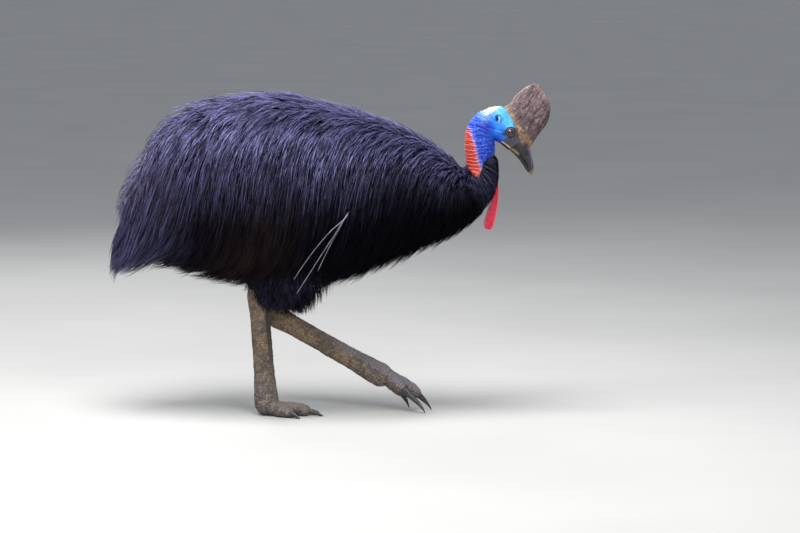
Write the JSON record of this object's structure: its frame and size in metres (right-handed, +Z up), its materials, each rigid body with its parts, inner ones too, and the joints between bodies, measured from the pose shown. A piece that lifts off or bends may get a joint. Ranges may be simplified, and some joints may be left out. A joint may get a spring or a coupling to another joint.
{
  "type": "southern cassowary",
  "caption": "Life-size still model of a walking southern cassowary with lowered head, tall casque, red wattles and long black plumage.",
  "frame": {"origin": "on the floor under the middle of the whole bird", "axes": "+X the way the bird walks and faces, +Y its left side, +Z up"},
  "size_m": [1.2962, 0.474, 0.9767],
  "materials": {
    "feather": "long glossy near-black plumage with a violet-blue sheen",
    "quill": "bare pale grey wing quills",
    "blue_skin": "finely wrinkled bare skin, cobalt to turquoise, red on the nape",
    "red_skin": "soft crimson folds of bare skin",
    "horn": "brown-grey horn with a streaked grain",
    "dark_horn": "dark grey horn, slightly glossy",
    "leg_skin": "grey-brown scaled skin with pale seams",
    "eye": "wet dark red-brown eye"
  },
  "bodies": {
    "root": {"tail": "feather", "torso": "feather", "neck_base": "feather", "neck": "blue_skin", "head": "blue_skin", "eye_left": "eye", "eye_right": "eye", "casque": "horn", "bill_upper": "dark_horn", "bill_lower": "dark_horn", "wattle_left": "red_skin", "wattle_right": "red_skin", "wing_left": "quill", "wing_right": "quill", "thigh_left": "feather", "thigh_right": "feather", "shank_left": "leg_skin", "shank_right": "leg_skin", "toe_inner_left": "leg_skin", "toe_middle_left": "leg_skin", "toe_outer_left": "leg_skin", "toe_inner_right": "leg_skin", "toe_middle_right": "leg_skin", "toe_outer_right": "leg_skin", "claw_inner_left": "dark_horn", "claw_middle_left": "dark_horn", "claw_outer_left": "dark_horn", "claw_inner_right": "dark_horn", "claw_middle_right": "dark_horn", "claw_outer_right": "dark_horn"}
  },
  "joints": []
}
